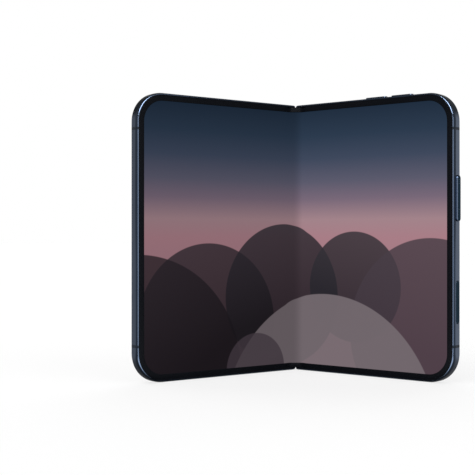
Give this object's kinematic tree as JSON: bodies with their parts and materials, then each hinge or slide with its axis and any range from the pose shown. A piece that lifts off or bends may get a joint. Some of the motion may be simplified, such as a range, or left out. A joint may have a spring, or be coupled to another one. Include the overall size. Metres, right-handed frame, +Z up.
{
  "type": "foldable smartphone",
  "caption": "Slim book-style folding smartphone standing half open on its lower edges, with a large inner screen, a camera bar on the back and keys on the edges.",
  "frame": {"origin": "on the table, in the middle of the outline of the phone as it stands half open", "axes": "+Z up along the fold, +X across the open phone towards the camera half, +Y away from the viewer, out of the backs"},
  "size_m": [0.1363, 0.0551, 0.1217],
  "materials": {
    "spine_metal": "satin",
    "steel": "satin",
    "screws": "satin",
    "bronze": "satin",
    "frame_metal": "polished dark blue",
    "camera_button": "gloss",
    "antenna_plastic": "satin",
    "screen": "soft gloss, lit",
    "bezel_rubber": "matte",
    "back_glass": "frosted",
    "cover_glass": "gloss",
    "lens_glass": "gloss",
    "ring_metal": "satin",
    "flash": "gloss",
    "black_plastic": "matte",
    "board": "satin"
  },
  "bodies": {
    "spine": {"spine_cover": "spine_metal", "spine_end_caps": "spine_metal", "hinge_bracket_lower": "steel", "hinge_bracket_upper": "steel", "bracket_screws": "screws", "centre_support": "steel", "inner_screen_fold": "screen", "fold_bezel": "bezel_rubber", "hinge_flex": "bronze"},
    "right_idlers": {"right_idler_gears": "bronze"},
    "left_idlers": {"left_idler_gears": "bronze"},
    "right_half": {"right_hinge_shafts": "steel", "right_hinge_arms": "steel", "right_friction_washers": "bronze", "right_arm_screws": "screws", "right_frame": "frame_metal", "right_antenna_bands": "antenna_plastic", "inner_screen_right": "screen", "right_bezel": "bezel_rubber", "back_glass": "back_glass", "main_camera_ring": "ring_metal", "wide_camera_ring": "ring_metal", "main_camera_window": "lens_glass", "wide_camera_window": "lens_glass", "main_camera": "black_plastic", "wide_camera": "black_plastic", "flash_window": "flash", "right_battery": "black_plastic", "main_board": "board", "board_shields": "steel", "usb_socket": "steel", "haptic_motor": "steel", "bottom_speaker": "black_plastic", "charging_coil": "bronze", "right_magnets": "steel", "button_switches": "steel"},
    "left_half": {"left_hinge_shafts": "steel", "left_hinge_arms": "steel", "left_friction_washers": "bronze", "left_arm_screws": "screws", "left_frame": "frame_metal", "left_antenna_bands": "antenna_plastic", "inner_screen_left": "screen", "left_bezel": "bezel_rubber", "cover_glass": "cover_glass", "cover_screen": "black_plastic", "cover_camera": "black_plastic", "left_battery": "black_plastic", "left_board": "board", "ear_speaker": "black_plastic", "left_magnets": "steel"},
    "right_support": {"right_support_plate": "steel"},
    "left_support": {"left_support_plate": "steel"},
    "power_key": {"power_button": "frame_metal"},
    "camera_key": {"camera_button": "camera_button"},
    "volume_up_key": {"volume_up_button": "frame_metal"},
    "volume_down_key": {"volume_down_button": "frame_metal"}
  },
  "joints": [
    {"name": "right_fold", "type": "hinge", "parent": "spine", "child": "right_half", "pos_m": [0.0028, 0.02409, 0.0606], "axis": [0, 0, -1], "range_deg": [-37.9, 52.1], "deforming": ["inner_screen_fold", "fold_bezel", "hinge_flex"]},
    {"name": "left_fold", "type": "hinge", "parent": "spine", "child": "left_half", "pos_m": [-0.0028, 0.02409, 0.0606], "axis": [0, 0, 1], "range_deg": [-37.9, 52.1]},
    {"name": "right_idler_spin", "type": "hinge", "parent": "spine", "child": "right_idlers", "pos_m": [0.00093, 0.02409, 0.0606], "axis": [0, 0, 1], "range_deg": [-37.9, 52.1]},
    {"name": "left_idler_spin", "type": "hinge", "parent": "spine", "child": "left_idlers", "pos_m": [-0.00093, 0.02409, 0.0606], "axis": [0, 0, -1], "range_deg": [-37.9, 52.1]},
    {"name": "right_support_lean", "type": "hinge", "parent": "right_half", "child": "right_support", "pos_m": [0.00734, 0.01885, 0.0606], "axis": [0, 0, -1], "range_deg": [-7.6, 10.45]},
    {"name": "left_support_lean", "type": "hinge", "parent": "left_half", "child": "left_support", "pos_m": [-0.00734, 0.01885, 0.0606], "axis": [0, 0, 1], "range_deg": [-7.6, 10.45]},
    {"name": "power_press", "type": "slide", "parent": "right_half", "child": "power_key", "axis": [-0.7891, 0.6143, 0], "range_m": [0, 0.00025], "stiffness_N_per_m": 2000, "springref_m": -0.0005},
    {"name": "camera_press", "type": "slide", "parent": "right_half", "child": "camera_key", "axis": [-0.7891, 0.6143, 0], "range_m": [0, 0.00015], "stiffness_N_per_m": 2000, "springref_m": -0.0005},
    {"name": "volume_up_press", "type": "slide", "parent": "right_half", "child": "volume_up_key", "axis": [0, 0, -1], "range_m": [0, 0.00025], "stiffness_N_per_m": 2000, "springref_m": -0.0005},
    {"name": "volume_down_press", "type": "slide", "parent": "right_half", "child": "volume_down_key", "axis": [0, 0, -1], "range_m": [0, 0.00025], "stiffness_N_per_m": 2000, "springref_m": -0.0005}
  ],
  "couplings": [
    {"joint": "left_fold", "follows": "right_fold", "ratio": 1},
    {"joint": "right_idler_spin", "follows": "right_fold", "ratio": 1},
    {"joint": "left_idler_spin", "follows": "right_fold", "ratio": 1},
    {"joint": "right_support_lean", "follows": "right_fold", "ratio": 0.2},
    {"joint": "left_support_lean", "follows": "right_fold", "ratio": 0.2}
  ]
}
